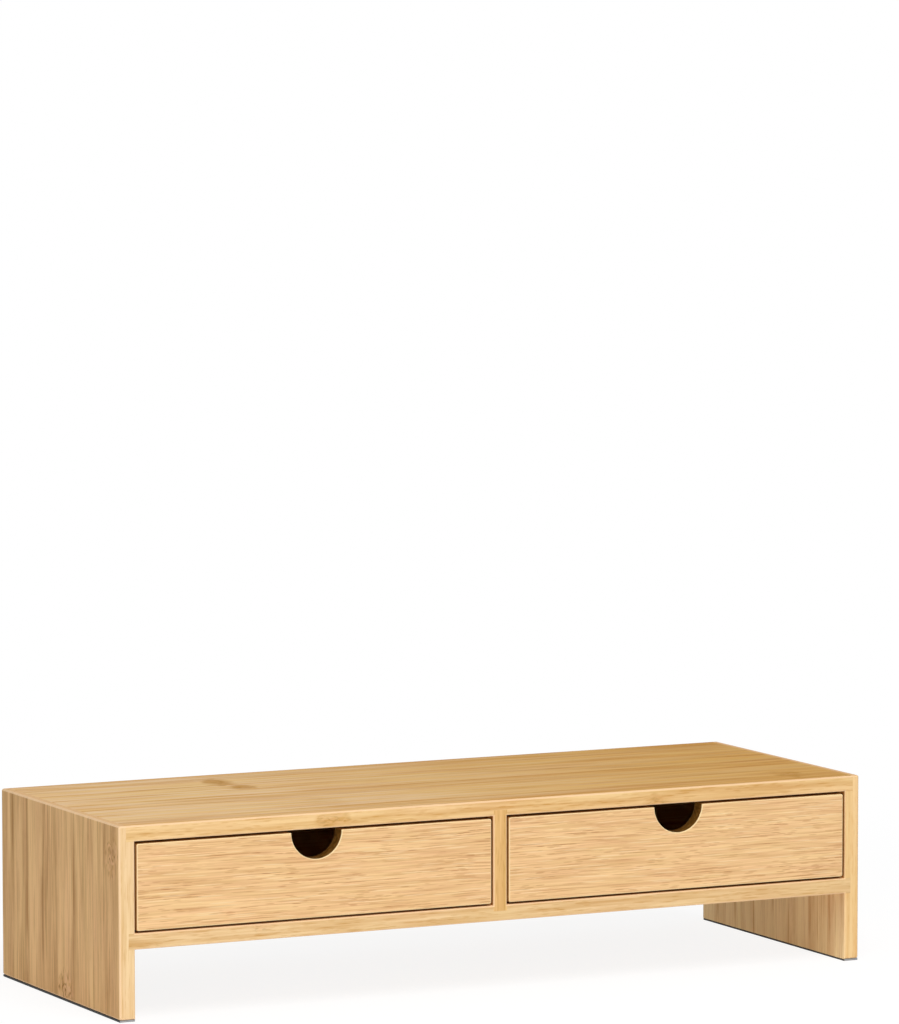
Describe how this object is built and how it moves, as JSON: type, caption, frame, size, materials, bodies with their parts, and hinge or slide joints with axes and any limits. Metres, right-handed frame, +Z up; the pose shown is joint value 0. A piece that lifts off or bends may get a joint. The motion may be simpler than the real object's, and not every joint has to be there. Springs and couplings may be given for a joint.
{
  "type": "monitor riser",
  "caption": "Low board riser for a desk screen: leg panels, flat top, open space under the shelf, and flush sliding drawers with half-round finger notches.",
  "frame": {"origin": "on the floor, under the middle of the riser", "axes": "+X to the right along the long side, -Y out of the drawer fronts, +Z up"},
  "size_m": [0.546, 0.2, 0.127],
  "materials": {
    "bamboo_board": "clear satin lacquer on pale bamboo",
    "bamboo_front": "clear satin lacquer on pale bamboo",
    "bamboo_ply": "clear satin lacquer on thin bamboo ply",
    "dowel_wood": "bare turned hardwood",
    "foot_foam": "matt closed-cell foam"
  },
  "bodies": {
    "case": {"left_side_panel": "bamboo_board", "right_side_panel": "bamboo_board", "top_panel": "bamboo_board", "drawer_shelf": "bamboo_board", "center_divider": "bamboo_board", "back_panel": "bamboo_ply", "left_foot_strip": "foot_foam", "right_foot_strip": "foot_foam"},
    "left_drawer": {"left_drawer_front": "bamboo_front", "left_drawer_left_side": "bamboo_board", "left_drawer_right_side": "bamboo_board", "left_drawer_back": "bamboo_board", "left_drawer_bottom": "bamboo_ply", "left_drawer_dowel_1": "dowel_wood", "left_drawer_dowel_2": "dowel_wood", "left_drawer_dowel_3": "dowel_wood", "left_drawer_dowel_4": "dowel_wood"},
    "right_drawer": {"right_drawer_front": "bamboo_front", "right_drawer_left_side": "bamboo_board", "right_drawer_right_side": "bamboo_board", "right_drawer_back": "bamboo_board", "right_drawer_bottom": "bamboo_ply", "right_drawer_dowel_1": "dowel_wood", "right_drawer_dowel_2": "dowel_wood", "right_drawer_dowel_3": "dowel_wood", "right_drawer_dowel_4": "dowel_wood"}
  },
  "joints": [
    {"name": "left_drawer_slide", "type": "slide", "parent": "case", "child": "left_drawer", "axis": [0, -1, 0], "range_m": [0, 0.145]},
    {"name": "right_drawer_slide", "type": "slide", "parent": "case", "child": "right_drawer", "axis": [0, -1, 0], "range_m": [0, 0.145]}
  ]
}
